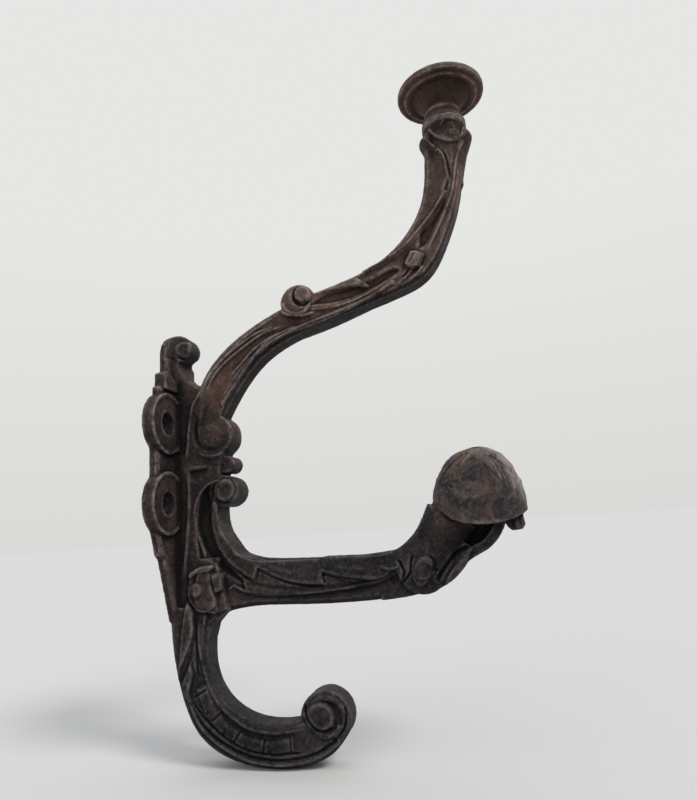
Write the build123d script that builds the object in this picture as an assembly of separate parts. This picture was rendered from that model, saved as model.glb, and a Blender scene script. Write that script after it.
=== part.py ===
"""Wall coat hook of ornamental cast iron, one casting.

Millimetres.  The wall is the plane Y = 0, the hook stands out towards -Y, +Z is up, and the casting is
mirror-symmetric about X = 0.  The origin is the centre of the four screw holes, on the wall.
Side outlines are given as (forward, up) pairs, where forward is the distance out from the wall.
"""

import os
from math import asin, cos, pi, radians, sin, tan

from build123d import *

# Wall plate and its four screw ears
HOLE_SPACING_X = 27.0
HOLE_SPACING_Z = 31.6
HOLE_D = 5.4
COUNTERSINK_D = 9.6
COUNTERSINK_DEPTH = 2.1
EAR_D = 24.8
EAR_T = 5.0
EAR_RIM = 1.3
EAR_DISH = 0.5
PLATE_T = 3.6
SHOULDER_T = 4.8
LOBE_HALF = 12.4
LOBE_T = 2.2

# Half-widths across the casting
TRUNK_HALF = 5.5
ARM_HALF = 5.5
KEEL_HALF = 4.2
HOOK_HALF = 6.4
CURL_HALF = 4.8
CREST_HALF = 4.4
RELIEF = 0.9

# Hat knob on the upper arm
KNOB_FORWARD = 125.1
KNOB_R = 18.1
KNOB_RIM_Z = 147.6
KNOB_RISE = 8.8
COLLAR_R = 9.2
COLLAR_Z = 131.5
CALYX_R = 11.2
CALYX_Z = 124.5

# Domed cap on the middle arm
CAP_FORWARD = 122.4
CAP_R = 17.0
CAP_BROW_Z = -17.0
CAP_FLARE_Z = -24.0
CAP_FOOT_Z = -33.0
CAP_CROWN_R = 14.4
CAP_CROWN_Z = -18.0
CAP_WALL = 4.0
CAP_DEPTH = 16.0
CAP_ZONES = 4
PETAL_RISE = 0.7
CUP_FOOT = (104.2, -41.8)
CUP_R = 10.0
CUP_LEAN = 60.0
CUP_LENGTH = 16.0
LIP_HALF = 7.0
WEB_HALF = 3.0
CHEEK_HALF = 8.0

# Curl at the end of the lower hook, and the row of blocks along its side
CURL_CENTRE = (60.5, -96.0)
CURL_R = 9.4
BEAD_ARC_CENTRE = (40.0, -78.0)
BEAD_ARC_R = 27.0
BEAD_SIZE = (4.0, 8.4)
BEAD_COUNT = 5
BEAD_START = 203.0
BEAD_STEP = 19.0

# Local x runs forward from the wall and local y runs up.
SIDE = Plane(origin=(0, 0, 0), x_dir=(0, -1, 0), z_dir=(-1, 0, 0))
# Local x runs across and local y runs up; an extrusion along the normal leaves the wall.
FRONT = Plane(origin=(0, 0, 0), x_dir=(1, 0, 0), z_dir=(0, -1, 0))


def across(face, half):
    """A side outline made into a slab of the given half-width, centred on the mid-plane."""
    return extrude(Pos(half, 0, 0) * (SIDE * face), amount=2 * half)


def band(upper, lower):
    """The face between two splines that run the same way."""
    top = Spline(*upper)
    bottom = Spline(*lower)
    return make_face([top, Line(top @ 1, bottom @ 1), bottom, Line(bottom @ 0, top @ 0)])


def arcs(points):
    """A chain of arcs, each through three of the points."""
    return [ThreePointArc(*points[i:i + 3]) for i in range(0, len(points) - 2, 2)]


def ribbon(upper, lower):
    """The face between two chains of arcs that run the same way."""
    top, bottom = arcs(upper), arcs(lower)
    return make_face(top + bottom + [Line(top[-1] @ 1, bottom[-1] @ 1), Line(bottom[0] @ 0, top[0] @ 0)])


def eased(solid, inset, drop):
    """Both side faces' long curved rims bevelled: inset across the face and drop down the edge."""
    half = solid.bounding_box().max.X
    for side in (half, -half):
        face = [f for f in solid.faces() if abs(f.center().X - side) < 0.01][0]
        rim = [e for e in face.edges() if e.geom_type != GeomType.LINE]
        solid = chamfer(rim, length=inset, length2=drop, reference=face)
    return solid


def disc(centre, radius, half):
    """A round boss right across the casting."""
    return across(Pos(*centre) * Circle(radius), half)


def stud(centre, radius, half):
    """A small twelve-sided boss right across the casting."""
    return across(Pos(*centre) * RegularPolygon(radius, 12), half)


def spiral(centre, start_r, end_r, start_deg, turns, width, half):
    """A raised ribbon that winds inwards from start_r to end_r, as a slab across the casting."""
    steps = 2 * round(turns * 4)

    def edge(inset):
        points = []
        for i in range(steps + 1):
            t = i / steps
            angle = radians(start_deg + 360 * turns * t)
            r = start_r + (end_r - start_r) * t - inset * (1 - 0.35 * t)
            points.append((centre[0] + r * cos(angle), centre[1] + r * sin(angle)))
        return points

    return across(ribbon(edge(0.0), edge(width)), half)


def turned(face, forward):
    """A side outline turned about the upright axis at the given distance from the wall."""
    return revolve(SIDE * face, axis=Axis((0, -forward, 0), (0, 0, 1)))


def wall_plate():
    """The flat plate: stepped shoulders, the waist between the ears, and a tapered tail."""
    half = [
        (0, 44), (LOBE_HALF, 44), (LOBE_HALF, 36.6), (16.3, 36.4), (16.3, 31.4), (18, 30.4), (18, 26),
        (20.4, 22), (20.4, -25.6), (18.4, -31), (17, -35.4), (14.7, -36.9), (5.8, -61), (0, -62),
    ]
    outline = half + [(-x, z) for x, z in reversed(half[1:-1])]
    plate = extrude(FRONT * make_face(Polyline(*outline, close=True)), amount=PLATE_T)
    front_rim = plate.faces().sort_by(Axis.Y)[0].edges()
    horn = [(4, 30), (4, 32.4), (13.4, 37.8), (16.3, 36.4), (16.3, 30)]
    horns = [make_face(Polyline(*[(side * x, z) for x, z in horn], close=True)) for side in (1, -1)]
    return chamfer(front_rim, 0.8) + [extrude(FRONT * face, amount=SHOULDER_T) for face in horns]


def ear_places():
    return [
        (sx * HOLE_SPACING_X / 2, sz * HOLE_SPACING_Z / 2) for sx in (-1, 1) for sz in (-1, 1)
    ]


def ear(x, z):
    """A round ear with a raised rim."""
    place = FRONT * Pos(x, z)
    dish = Plane(origin=(x, -EAR_T, z), z_dir=(0, 1, 0)) * Circle(EAR_D / 2 - EAR_RIM)
    return extrude(place * Circle(EAR_D / 2), amount=EAR_T) - extrude(dish, amount=EAR_DISH)


def screw_hole(x, z):
    """A through hole with a countersink that starts at the ear's dished face."""
    face_y = EAR_T - EAR_DISH
    hole = extrude(FRONT * Pos(x, z) * Circle(HOLE_D / 2), amount=EAR_T + 1)
    axis = Plane(origin=(x, -face_y, z), z_dir=(0, 1, 0))
    cone = axis * Pos(0, 0, COUNTERSINK_DEPTH / 2) * Cone(
        COUNTERSINK_D / 2, HOLE_D / 2, COUNTERSINK_DEPTH
    )
    return hole + cone


def trunk():
    """The upright body that carries the arms, hollowed along each side."""
    outline = Polyline(
        (0, 40), (4, 40), (9, 35), (17, 30), (23, 18), (24, 2), (22.4, -8), (21.4, -20), (21, -40),
        (25, -57.4), (20.6, -59.4), (17.2, -62.8), (15.6, -68), (3, -68), (0, -58), close=True,
    )
    body = across(make_face(outline), TRUNK_HALF)
    rim = [e for e in body.edges() if abs(abs(e.center().X) - TRUNK_HALF) < 0.01]
    body = chamfer(rim, 1.0)
    channel = ribbon(
        [(19, -8.5), (14.8, -12), (12.6, -18), (11.9, -28), (13, -38)],
        [(19, -9.6), (18.6, -14.4), (18.4, -20), (19.8, -30), (24, -38)],
    )
    floor = across(channel, TRUNK_HALF + 1) - across(channel, TRUNK_HALF - 1.3)
    return body - floor


def crest():
    """The scroll at the head of the plate: a wide lobe on the wall, drawn in to a forward curl."""
    top = 55.3
    side = make_face([
        ThreePointArc((0, 50.6), (1.4, 53.9), (4.6, top)),
        ThreePointArc((4.6, top), (9.2, 52.6), (9.4, 47.2)),
        ThreePointArc((9.4, 47.2), (7.6, 44.9), (4.9, 43.6)),
        ThreePointArc((4.9, 43.6), (5.8, 38.8), (9.6, 34)),
        Polyline((9.6, 34), (0, 34), (0, 50.6)),
    ])
    plan = [(LOBE_HALF, 0), (LOBE_HALF, LOBE_T), (8.4, LOBE_T + 1.3), (CREST_HALF, 6.4), (CREST_HALF, 12)]
    outline = [(x, -f) for x, f in plan] + [(-x, -f) for x, f in reversed(plan)]
    narrowed = extrude(Pos(0, 0, 34) * make_face(Polyline(*outline, close=True)), amount=24)
    shield = make_face([
        Polyline((-4, top), (4, top)),
        ThreePointArc((4, top), (9.6, 52.2), (LOBE_HALF, 46.6)),
        Polyline((LOBE_HALF, 46.6), (LOBE_HALF, 34), (-LOBE_HALF, 34), (-LOBE_HALF, 46.6)),
        ThreePointArc((-LOBE_HALF, 46.6), (-9.6, 52.2), (-4, top)),
    ])
    scroll = across(side, LOBE_HALF) & narrowed & extrude(FRONT * shield, amount=12)
    eye = stud((5.7, 49.2), 3.7, CREST_HALF + 0.5)
    return scroll + eye


def front_volutes():
    """The two volutes and the small bead on the front of the trunk."""
    upper = disc((19.5, 10.8), 8.4, TRUNK_HALF)
    upper_roll = spiral((19.5, 10.8), 8.0, 4.6, 200, 1.0, 1.7, TRUNK_HALF + 0.7)
    bead = disc((25.0, -1.6), 3.4, TRUNK_HALF - 0.8)
    lower = disc((23.8, -12.2), 6.2, TRUNK_HALF)
    lower_eye = stud((25.0, -12.0), 4.5, TRUNK_HALF + RELIEF + 0.6)
    return upper + upper_roll + bead + lower + lower_eye


def collar_clasp():
    """The clasp where the middle arm leaves the trunk."""
    cheek = make_face(
        Polyline((9, -43.5), (18, -41), (20, -51), (20, -58), (12, -57), (8.5, -53), close=True)
    )
    block = make_face(Polyline((18.6, -44.5), (22.8, -44), (22.7, -50), (20, -51), close=True))
    rosette = stud((12.3, -49.6), 2.8, TRUNK_HALF + 1.3)
    return across(cheek, TRUNK_HALF + 0.7) + across(block, TRUNK_HALF + 1.3) + rosette


def upper_arm():
    """The long S-shaped arm under the hat knob, with a volute on its back and ribs on its sides."""
    back = [
        (11.4, 25), (20.6, 42.2), (42.2, 57.2), (66.5, 66), (90.5, 73.4), (106, 85.7),
        (113.3, 99.5), (115.6, 114), (117, 128),
    ]
    front = [
        (21, 12), (29.7, 27.4), (42.1, 41.2), (66.4, 51.7), (98.8, 60.6), (111.7, 66.2), (121, 79.6),
        (128.6, 99.8), (130.8, 113), (131.4, 128),
    ]
    body = eased(across(band(back, front), ARM_HALF), 1.3, 1.8)
    front_bead = ribbon(
        [(23.6, 24.2), (36, 40.2), (53.7, 50.9), (77.6, 57.1), (98.2, 65.6)],
        [(24.4, 22.2), (37.2, 38.8), (54.1, 49.1), (78, 55.2), (99.4, 63.8)],
    )
    stem_rib = ribbon(
        [(86.5, 71.2), (99.6, 76.6), (110.4, 85.4), (118, 93.4), (123, 100.6)],
        [(86.5, 69.8), (100.6, 75), (111.6, 83.8), (119.2, 92), (123.6, 100)],
    )
    ribs = [across(face, ARM_HALF + 0.5) for face in (front_bead, stem_rib)]
    knot = across(make_face(
        Polyline((104, 71.6), (107.3, 75.8), (111.2, 73.9), (109.1, 69.3), (105.1, 69), close=True)
    ), ARM_HALF + RELIEF)
    volute = disc((58.6, 62.4), 7.4, ARM_HALF)
    roll = spiral((58.6, 62.4), 7.2, 4.4, 180, 0.8, 1.7, ARM_HALF + 0.6)
    eye = stud((61.0, 65.3), 3.5, ARM_HALF + RELIEF)
    return body + ribs + [knot, volute, roll, eye]


def calyx():
    """Two leaves that clasp the stem under the collar, one behind and one in front, parted by a V."""
    f, z = KNOB_FORWARD, CALYX_Z
    cone = [(f, 104), (f + 4.8, 104), (f + 8.2, 117.4), (f + CALYX_R, z + 0.8), (f, z - 1.4)]
    gap = make_face(Polyline(
        (115.2, 128), (118.9, 122), (122.6, 117), (122.2, 111.4), (124.2, 106.5), (127, 110.4),
        (128.4, 115), (130.4, 120), (132.4, 124.4), (132.4, 128), close=True,
    ))
    leaves = turned(make_face(Polyline(*cone, close=True)), f) - across(gap, 20)
    shaft = make_face(Polyline((f, 104), (f + 5.4, 104), (f + 7.2, 128), (f, 128), close=True))
    return leaves + turned(shaft, f)


def knob():
    """The hat knob: round collar, flared neck, hollow underside with a ring, rim and low crown."""
    f, z = KNOB_FORWARD, KNOB_RIM_Z
    under = [
        (f, COLLAR_Z - 5), (f + 7.4, COLLAR_Z - 5), (f + COLLAR_R, COLLAR_Z - 1.4),
        (f + COLLAR_R, COLLAR_Z + 1.4), (f + 7.0, COLLAR_Z + 5.2), (f + 7.0, z - 7.6),
        (f + 12.4, z - 1.2), (f + 15.2, z - 1.8), (f + 15.8, z - 1.0), (f + KNOB_R, z - 1.0),
    ]
    over = [
        (f + KNOB_R, z + 1.0), (f + KNOB_R - 1.6, z + 2.2), (f + 12.4, z + 5.4), (f + 6.6, z + 8.0),
        (f, z + KNOB_RISE),
    ]
    return turned(make_face(Polyline(*under, *over, close=True)), f)


def middle_arm():
    """The level arm: a narrow keel below, and a leaf with a toothed edge over each side."""
    top = [
        (20.6, -18), (21.2, -24), (23.4, -30), (28.6, -36), (37, -38.8), (52, -39.9), (78, -40.1),
        (92, -38.8),
    ]
    bottom = [(16, -60), (22, -58.6), (30, -57.2), (52, -57), (78, -56.8), (92, -55.8)]
    keel = eased(across(band(top, bottom), KEEL_HALF), 1.8, 2.6)
    leaf = across(ribbon(
        [(28.6, -36.4), (37, -39.2), (52, -40.3), (72, -40.5), (92, -39.2)],
        [(32, -51.2), (46, -52.8), (66, -52.3), (80, -50.3), (92, -46)],
    ), ARM_HALF)
    lobes = []
    for start, tip, notch in (
        ((20, -24), (36, -46.4), (36.6, -42.2)),
        ((36.6, -42.2), (62.8, -49.3), (62, -45)),
        ((62, -45), (86, -48.4), (91, -44)),
    ):
        belly = ((start[0] + tip[0]) / 2 - 1, (start[1] + tip[1]) / 2 - 2.2)
        upper = (notch[0], -40.6)
        lower = ThreePointArc(start, belly, tip)
        close = Polyline(tip, notch, upper, (max(start[0], 31), -40), start)
        lobes.append(across(make_face([lower, close]), ARM_HALF + RELIEF))
    scroll = ribbon(
        [(19.6, -16), (18.6, -24), (20.4, -32.2), (27, -41), (36, -46.4)],
        [(21.4, -17), (21.6, -24), (24, -30.4), (29.2, -36.6), (38.5, -39.8)],
    )
    return keel + leaf + lobes + across(scroll, ARM_HALF + RELIEF)


def cup():
    """The elbow and round stem that turn up from the middle arm into the cap, and the open lip."""
    elbow = ribbon(
        [(84, -40.4), (91, -38.8), (96.4, -35), (99.4, -31.8), (101.5, -28)],
        [(91, -47), (97.4, -54.6), (106, -53), (113.6, -48), (119, -40)],
    )
    keel_end = band([(84, -44), (100, -46)], [(84, -56.6), (93, -55.8), (104.5, -53.4)])
    forward, up = CUP_FOOT
    axis = Plane(origin=(0, -forward, up), z_dir=(0, -cos(radians(CUP_LEAN)), sin(radians(CUP_LEAN))))
    stem = axis * Pos(0, 0, CUP_LENGTH / 2) * Cone(CUP_R - 0.8, CUP_R, CUP_LENGTH)
    core = axis * Pos(0, 0, CUP_LENGTH) * Cylinder(CUP_R - 2.6, 22)
    knuckle = axis * Cylinder(CUP_R - 0.8, 6)
    lip = ribbon(
        [(112, -48), (118, -43.6), (123.6, -40.8), (129.4, -35), (132, -26)],
        [(112, -44), (117.4, -40), (121.6, -38), (126, -33.4), (128, -26)],
    )
    web = make_face(Polyline(
        (112, -46), (118, -42.4), (122, -40.6), (126, -36.5), (129, -30), (129, -20), (112, -20),
        close=True,
    ))
    slabs = [across(keel_end, KEEL_HALF), across(lip, LIP_HALF), across(web, WEB_HALF)]
    petal = stud((100.4, -45.6), 4.4, CHEEK_HALF)
    return across(elbow, ARM_HALF + RELIEF) + slabs + [stem, core, knuckle, petal]


def cap_form(grow):
    """The cap's outer form, grown evenly: a crown of straight zones on a flared skirt."""
    f = CAP_FORWARD
    crown_r = CAP_CROWN_R + grow
    start = asin((CAP_BROW_Z - CAP_CROWN_Z) / crown_r)
    outline = [(f, CAP_FOOT_Z), (f + CAP_R, CAP_FOOT_Z), (f + CAP_R, CAP_FLARE_Z)]
    for i in range(CAP_ZONES + 1):
        angle = start + (pi / 2 - start) * i / CAP_ZONES
        outline.append((f + crown_r * cos(angle), CAP_CROWN_Z + crown_r * sin(angle)))
    return turned(make_face(Polyline(*outline, close=True)), f)


def cap_petal(start, reach, spread, foot_z):
    """A raised petal of the cap: its grown form within an upright wedge that opens forward from start."""
    side = reach * tan(radians(spread))
    wedge = make_face(Polyline((0, -start), (side, -start - reach), (-side, -start - reach), close=True))
    return cap_form(PETAL_RISE) & extrude(Pos(0, 0, foot_z) * wedge, amount=-foot_z)


def cap():
    """The hollow dome: an edge that droops at each side, and a raised petal and a ridged tab in front."""
    dome = cap_form(0) + cap_petal(CAP_FORWARD - 1.5, 24, 48, -18.6)
    hollow = Pos(0, -CAP_FORWARD, CAP_FOOT_Z + CAP_DEPTH / 2) * Cylinder(CAP_R - CAP_WALL, CAP_DEPTH)
    edge = [
        (100, -21), (106.5, -24.4), (112, -29.2), (121.5, -31.8), (130, -31.4), (137.5, -29), (144, -24),
    ]
    below = make_face([
        *arcs(edge),
        Polyline((144, -24), (144, -40), (100, -40), (100, -21)),
    ])
    tab = make_face(Polyline(
        (130, -26), (131.6, -33.4), (133, -34.8), (136.6, -34.6), (137.8, -33), (137, -26), close=True,
    ))
    ridge = make_face(Polyline((133.6, -27), (134.2, -34.6), (135.6, -34.6), (135, -27), close=True))
    return dome - hollow - across(below, 30) + across(tab, 4.0) + across(ridge, 4.7)


def lower_hook():
    """The J-shaped hook under the trunk, drawn in to a narrower curl, with blocks along each side."""
    inner = [(17, -58), (15.2, -72), (17.2, -84), (26, -93.8), (39, -97.9), (51, -97)]
    outer = [
        (0, -55), (0.6, -67), (2.4, -79), (5.4, -90), (11.6, -101.6), (23.8, -109.6), (37, -112.4),
        (50, -112.2), (61, -108.6), (68.2, -101),
    ]
    slab = eased(across(band(inner, outer), HOOK_HALF), 1.4, 1.8)
    plan = [(HOOK_HALF, 1), (HOOK_HALF, -44), (CURL_HALF, -62), (CURL_HALF, -80)]
    outline = plan + [(-x, y) for x, y in reversed(plan)]
    tapered = slab & extrude(Pos(0, 0, -120) * make_face(Polyline(*outline, close=True)), amount=70)
    curl = disc(CURL_CENTRE, CURL_R, CURL_HALF)
    roll = spiral(CURL_CENTRE, 8.4, 6.2, -60, 1.1, 1.6, CURL_HALF + 0.6)
    eye = stud((58.8, -95.6), 5.0, CURL_HALF + 1.0)
    beads = []
    for i in range(BEAD_COUNT):
        angle = BEAD_START + BEAD_STEP * i
        place = Pos(*BEAD_ARC_CENTRE) * Rot(0, 0, angle) * Pos(BEAD_ARC_R, 0)
        beads.append(across(place * Rectangle(*BEAD_SIZE), HOOK_HALF + 0.6))
    leaf = ribbon([(8, -54), (6.0, -66), (4.6, -80)], [(10.4, -57), (9.4, -70), (5.0, -81)])
    return tapered + curl + roll + eye + beads + across(leaf, HOOK_HALF + 0.5)


def casting():
    ears = [ear(x, z) for x, z in ear_places()]
    body = wall_plate() + ears + [trunk(), crest(), front_volutes(), lower_hook()]
    body = body + [upper_arm(), calyx(), knob(), middle_arm(), collar_clasp(), cup(), cap()]
    wall = extrude(FRONT * Rectangle(100, 400), amount=-10)
    return body - [wall] - [screw_hole(x, z) for x, z in ear_places()]


os.makedirs("parts", exist_ok=True)
hook = casting()
export_step(hook, "parts/hook_casting.step")
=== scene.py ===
"""Ornamental cast iron wall hook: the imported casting, carved, worn and lit.

The carving is given in millimetres as (forward, up) pairs in the hook's side view: forward is the distance
out from the wall, up is the height above the centre of the screw holes.  Both sides are carved alike.
"""

from math import cos, pi, radians, sin

import bmesh
import bpy
import numpy as np
from mathutils import Matrix, Vector

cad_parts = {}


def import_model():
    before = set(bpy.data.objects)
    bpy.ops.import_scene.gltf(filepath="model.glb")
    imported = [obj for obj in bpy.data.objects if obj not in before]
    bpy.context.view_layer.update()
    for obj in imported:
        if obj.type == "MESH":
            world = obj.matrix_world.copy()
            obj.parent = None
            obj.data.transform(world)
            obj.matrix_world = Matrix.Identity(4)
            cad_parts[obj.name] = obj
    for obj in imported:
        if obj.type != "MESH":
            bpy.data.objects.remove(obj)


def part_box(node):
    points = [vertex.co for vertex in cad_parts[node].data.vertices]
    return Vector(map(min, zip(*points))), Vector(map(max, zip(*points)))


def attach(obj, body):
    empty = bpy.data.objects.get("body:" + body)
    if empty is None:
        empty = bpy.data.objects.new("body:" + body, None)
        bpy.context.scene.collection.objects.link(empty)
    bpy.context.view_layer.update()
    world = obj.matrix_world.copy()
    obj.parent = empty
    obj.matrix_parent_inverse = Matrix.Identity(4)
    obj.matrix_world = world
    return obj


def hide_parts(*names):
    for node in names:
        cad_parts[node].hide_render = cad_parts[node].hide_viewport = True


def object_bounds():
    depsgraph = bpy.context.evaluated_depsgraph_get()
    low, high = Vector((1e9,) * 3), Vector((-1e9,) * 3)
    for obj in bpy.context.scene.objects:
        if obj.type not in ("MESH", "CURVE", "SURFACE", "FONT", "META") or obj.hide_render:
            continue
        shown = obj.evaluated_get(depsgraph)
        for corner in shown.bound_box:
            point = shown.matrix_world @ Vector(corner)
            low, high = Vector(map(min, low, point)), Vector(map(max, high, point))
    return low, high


MM = 0.001
NODE = "hook_casting"

# How fine the skin is made, how many triangles are kept of it, and the flats round a turned form
VOXEL = 0.45 * MM
MAX_TRIANGLES = 190000
TURNED_SEGMENTS = 96

# The turned forms and the screw holes, in millimetres, as in the casting
KNOB_FORWARD = 125.1
CAP_FORWARD = 122.4
CAP_CROWN_R = 14.4
CAP_CROWN_Z = -18.0
CAP_SKIRT_FLARE = 2.6
SCREW_X = 13.5
SCREW_Z = 15.8

# Where the knob's own tones begin, and the reach of the painted shade in the hollow beneath it
KNOB_FOOT_Z = 134
KNOB_RECESS_R = 13.4

# Rounds of the side faces that are smoothed before they are carved afresh: centre (forward, up) and reach
REDRAWN = (
    ((6.0, 49.5), 7.0),
    ((19.5, 10.8), 8.5),
    ((100.2, -47.0), 12.0),
    ((125.8, 122.0), 6.5),
    ((125.2, 113.0), 6.5),
    ((124.4, 106.0), 4.5),
    ((88.5, -55.5), 3.5),
)

# Casting grain: bump sizes in millimetres, the bumps' height, and what the cap's sides and back have on top
COARSE_GRAIN, FINE_GRAIN = 1.6, 0.8
GRAIN_HEIGHT, CAP_GRAIN_HEIGHT = 0.10, 0.26

# Colours of the iron; a pair is the dark and the light of a mottled tone
BLACK = (0.0108, 0.0112, 0.0145, 1), (0.045, 0.0400, 0.0405, 1)
BROWN = (0.045, 0.0315, 0.0280, 1), (0.188, 0.118, 0.092, 1)
CAP_GREY = (0.026, 0.027, 0.033, 1), (0.120, 0.094, 0.080, 1)
# painted shade for faces that look down
UNDERSIDE_SHADE = (0.0060, 0.0065, 0.0095, 1), (0.019, 0.0180, 0.0200, 1)
# pale rubbed metal, which also serves as a painted highlight on edges
WORN_AND_HIGHLIGHT_BLACK, WORN_AND_HIGHLIGHT_BROWN = (0.260, 0.232, 0.220, 1), (0.44, 0.375, 0.335, 1)
PALE_GRAIN, DARK_GRAIN = (0.150, 0.116, 0.102, 1), (0.0075, 0.0072, 0.0085, 1)
RUST = (0.190, 0.084, 0.044, 1)
RUST_SPOT = (0.110, 0.055, 0.036, 1)
# painted shade for hollows, the screw holes and the hollow beneath the knob
HOLLOW_SHADE = (0.0055, 0.0058, 0.0075, 1)

# The stage: floor and world have one colour by which they light the hook and another that is seen
FLOOR_SIZE = 40.0
FLOOR_GAP = 0.0002
FLOOR_LIGHT, FLOOR_SEEN = (0.32, 0.32, 0.32, 1), (0.63, 0.63, 0.615, 1)
BACKDROP_LOW, BACKDROP_HIGH = (0.70, 0.70, 0.685, 1), (0.79, 0.80, 0.785, 1)
SKY_LOW, SKY_HIGH = (0.20, 0.205, 0.215, 1), (0.95, 0.96, 1.0, 1)

# The camera: degrees in front of and below the hook's left side, its roll, what it looks at, and metres away
CAMERA_TURN, CAMERA_RISE, CAMERA_ROLL = 12.0, 12.0, -4.0
CAMERA_TARGET = (0, -0.07597, 0.020)
CAMERA_DISTANCE = 0.242
CAMERA_LENS = 27.225


# ---------------------------------------------------------------- curves and distances in the side view


def curve(points, steps=8):
    """A smooth line through given points (Catmull-Rom), as an array."""
    p = np.array(points, float)
    if len(p) < 3:
        return p
    p = np.vstack([2 * p[0] - p[1], p, 2 * p[-1] - p[-2]])
    t = np.linspace(0, 1, steps, endpoint=False)[:, None]
    parts = []
    for a, b, c, d in zip(p, p[1:], p[2:], p[3:]):
        square = 2 * a - 5 * b + 4 * c - d
        cube = 3 * b - a - 3 * c + d
        parts.append(0.5 * (2 * b + (c - a) * t + square * t**2 + cube * t**3))
    return np.vstack(parts + [p[-2:-1]])


def scroll(centre, start_r, end_r, start_deg, turns):
    """A spiral line about a centre, anticlockwise, whose radius goes evenly from start_r to end_r."""
    t = np.linspace(0, 1, max(12, int(abs(turns) * 28)))
    angle = np.radians(start_deg) + 2 * pi * turns * t
    r = start_r + (end_r - start_r) * t
    return np.c_[centre[0] + r * np.cos(angle), centre[1] + r * np.sin(angle)]


def to_line(points, line):
    """Distance to a polyline, place along it from 0 to 1, and which side (positive on the left)."""
    a, b = line[:-1], line[1:]
    ab = b - a
    length = np.maximum(np.hypot(ab[:, 0], ab[:, 1]), 1e-9)
    run = np.concatenate([[0], np.cumsum(length)])
    best = np.full(len(points), 1e9)
    along = np.zeros(len(points))
    side = np.zeros(len(points))
    for i in range(len(a)):
        ap = points - a[i]
        t = np.clip(ap @ ab[i] / length[i] ** 2, 0, 1)
        off = ap - t[:, None] * ab[i]
        d = np.hypot(off[:, 0], off[:, 1])
        closer = d < best
        best[closer] = d[closer]
        along[closer] = (run[i] + t[closer] * length[i]) / run[-1]
        side[closer] = np.sign(ab[i, 0] * ap[closer, 1] - ab[i, 1] * ap[closer, 0])
    return best, along, side


def inside(points, outline):
    """Even-odd test against a closed outline."""
    x, y = points[:, 0], points[:, 1]
    result = np.zeros(len(points), bool)
    for (x0, y0), (x1, y1) in zip(outline, np.roll(outline, -1, axis=0)):
        if y0 != y1:
            result ^= ((y0 > y) != (y1 > y)) & (x < (x1 - x0) * (y - y0) / (y1 - y0) + x0)
    return result


def ease(x):
    """A smooth step: 0 up to 0, 1 from 1 on."""
    x = np.clip(x, 0, 1)
    return x * x * (3 - 2 * x)


class Relief:
    """Heights, in millimetres, over a flat chart of some of the skin, and the colours that go with them."""

    def __init__(self, chart, weight):
        self.flat = chart
        self.weight = weight
        self.height = np.zeros(len(chart))
        self.rust = np.zeros(len(chart))
        self.bare_and_highlight = np.zeros(len(chart))

    def near(self, line, reach):
        """The places that something along the line can reach."""
        low, high = line.min(0) - reach, line.max(0) + reach
        return np.nonzero(((self.flat > low) & (self.flat < high)).all(1) & (self.weight > 0))[0]

    def ridge(self, points, width, height, taper=0.35, smooth=True):
        """A rounded ridge, or a groove if height is negative, that fades out over taper at each end."""
        line = curve(points) if smooth else np.array(points, float)
        pick = self.near(line, width)
        d, along, _ = to_line(self.flat[pick], line)
        fade = ease(along / taper) * ease((1 - along) / taper) if taper else 1.0
        self.height[pick] += height * fade * (1 - ease(d / width))

    def step(self, points, height, reach, edge, taper):
        """Ground on the left of the line lifted by height, fading back over reach."""
        line = curve(points)
        pick = self.near(line, reach)
        d, along, side = to_line(self.flat[pick], line)
        signed = d * side
        lift = ease((signed + edge) / (2 * edge)) * (1 - ease((signed - edge) / reach))
        fade = ease(along / taper) * ease((1 - along) / taper)
        self.height[pick] += height * lift * fade

    def patch(self, points, height, edge=0.5, crown=0.0, smooth=True, rust=0.0):
        """A raised or sunk field with an optional crowned top; rust tints the same field."""
        closed = np.vstack([points, points[:1]]) if not smooth else curve(list(points) + [points[0]])
        pick = self.near(closed, 2 * edge)
        d, _, _ = to_line(self.flat[pick], closed)
        signed = np.where(inside(self.flat[pick], closed), d, -d)
        fill = ease((signed + edge) / (2 * edge))
        self.height[pick] += height * fill
        if crown:
            deepest = max(signed.max(), 1e-6)
            self.height[pick] += crown * np.sqrt(np.clip(signed / deepest, 0, 1)) * fill
        self.rust[pick] = np.maximum(self.rust[pick], rust * fill)

    def boss(self, centre, radius, height, crown=0.0, edge=0.4):
        """A round raised button."""
        line = np.array([centre, centre], float)
        pick = self.near(line, radius + edge)
        d = np.hypot(*(self.flat[pick] - centre).T)
        fill = ease((radius + edge - d) / (2 * edge))
        self.height[pick] += fill * (height + crown * np.sqrt(np.clip(1 - (d / radius) ** 2, 0, 1)))

    def stain(self, points, width, amount):
        """Orange rust lying along a line."""
        line = curve(points)
        pick = self.near(line, width)
        d, _, _ = to_line(self.flat[pick], line)
        self.rust[pick] = np.maximum(self.rust[pick], amount * (1 - ease(d / width)))

    def polish_and_highlight(self, points, width, amount):
        """Bare rubbed metal along an edge, with a painted highlight on it."""
        line = curve(points)
        pick = self.near(line, width)
        d, _, _ = to_line(self.flat[pick], line)
        self.bare_and_highlight[pick] = np.maximum(self.bare_and_highlight[pick], amount * (1 - ease(d / width)))


# ---------------------------------------------------------------- the carving


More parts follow.
